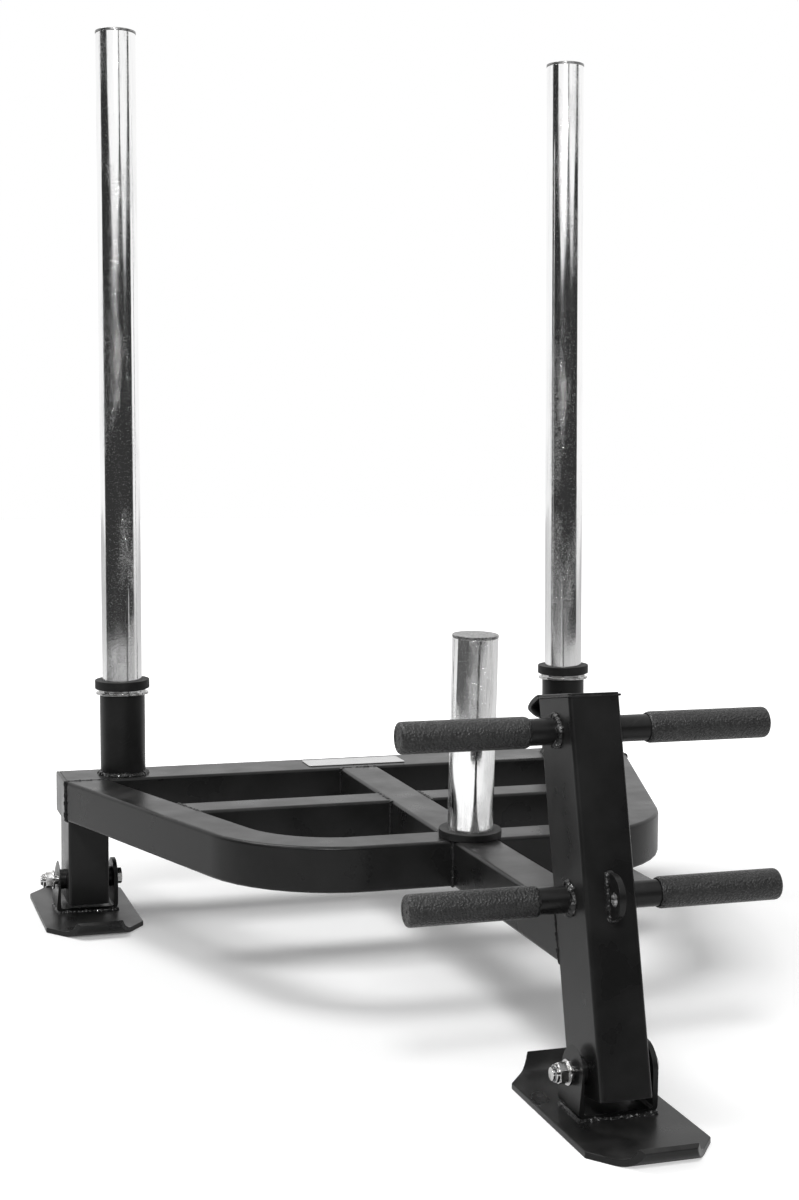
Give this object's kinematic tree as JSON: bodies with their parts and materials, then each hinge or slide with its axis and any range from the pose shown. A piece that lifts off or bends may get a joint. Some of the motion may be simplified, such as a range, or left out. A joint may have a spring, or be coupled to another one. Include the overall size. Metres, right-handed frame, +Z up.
{
  "type": "push sled",
  "caption": "Push sled with upright posts on a cross tube, bent side tubes, a leaning mast with crosswise handles and a tow eye, and pivoting skids.",
  "frame": {"origin": "centre of the bounding box at floor level, the skids flat on the floor", "axes": "+X across the sled to the side of the bolt heads, +Y from the mast to the cross tube with the tall posts, +Z up"},
  "size_m": [0.8292, 1.1044, 1.1138],
  "materials": {
    "black_coat": "satin black powder coat on steel",
    "bright_plate": "bright plated steel tube with fine vertical streaks",
    "zinc_plate": "bright zinc plated fasteners",
    "black_rubber": "matte black rubber, pebbled on the grips",
    "bare_plate": "satin, without any marking"
  },
  "bodies": {
    "frame": {"cross_tube": "black_coat", "cross_tube_cap_left": "black_coat", "cross_tube_cap_right": "black_coat", "grip_lower_left": "black_rubber", "grip_lower_right": "black_rubber", "grip_upper_left": "black_rubber", "grip_upper_right": "black_rubber", "handle_bar_lower": "black_coat", "handle_bar_upper": "black_coat", "leg_left": "black_coat", "leg_right": "black_coat", "mast_cap": "black_coat", "mast_tube": "black_coat", "middle_bar_left": "black_coat", "middle_bar_right": "black_coat", "name_plate": "bare_plate", "pivot_tube_front": "black_coat", "pivot_tube_left": "black_coat", "pivot_tube_right": "black_coat", "short_post": "bright_plate", "short_post_bumper": "black_rubber", "short_post_cap": "bright_plate", "side_tube_left": "black_coat", "side_tube_right": "black_coat", "sleeve_left": "black_coat", "sleeve_right": "black_coat", "spine_tube": "black_coat", "strap_loop": "black_coat", "tow_eye": "black_coat"},
    "skid_left": {"pivot_bolt_left": "zinc_plate", "pivot_nut_left": "zinc_plate", "pivot_washer_left": "zinc_plate", "skid_bracket_left": "black_coat", "skid_plate_left": "black_coat"},
    "skid_right": {"pivot_bolt_right": "zinc_plate", "pivot_nut_right": "zinc_plate", "pivot_washer_right": "zinc_plate", "skid_bracket_right": "black_coat", "skid_plate_right": "black_coat"},
    "skid_front": {"pivot_bolt_front": "zinc_plate", "pivot_nut_front": "zinc_plate", "pivot_washer_front": "zinc_plate", "skid_bracket_front": "black_coat", "skid_plate_front": "black_coat"},
    "post_left": {"post_bumper_left": "black_rubber", "post_cap_left": "bright_plate", "post_collar_left": "bright_plate", "post_left": "bright_plate"},
    "post_right": {"post_bumper_right": "black_rubber", "post_cap_right": "bright_plate", "post_collar_right": "bright_plate", "post_right": "bright_plate"}
  },
  "joints": [
    {"name": "skid_left_pivot", "type": "hinge", "parent": "frame", "child": "skid_left", "pos_m": [-0.3546, 0.41917, 0.0445], "axis": [1, 0, 0], "range_deg": [-13, 13]},
    {"name": "skid_right_pivot", "type": "hinge", "parent": "frame", "child": "skid_right", "pos_m": [0.3546, 0.41917, 0.0445], "axis": [1, 0, 0], "range_deg": [-13, 13]},
    {"name": "skid_front_pivot", "type": "hinge", "parent": "frame", "child": "skid_front", "pos_m": [0, -0.41917, 0.0445], "axis": [1, 0, 0], "range_deg": [-29, 11]},
    {"name": "post_left_slide", "type": "slide", "parent": "frame", "child": "post_left", "axis": [0, 0.0349, 0.9994], "range_m": [0, 0.14]},
    {"name": "post_right_slide", "type": "slide", "parent": "frame", "child": "post_right", "axis": [0, 0.0349, 0.9994], "range_m": [0, 0.14]}
  ]
}
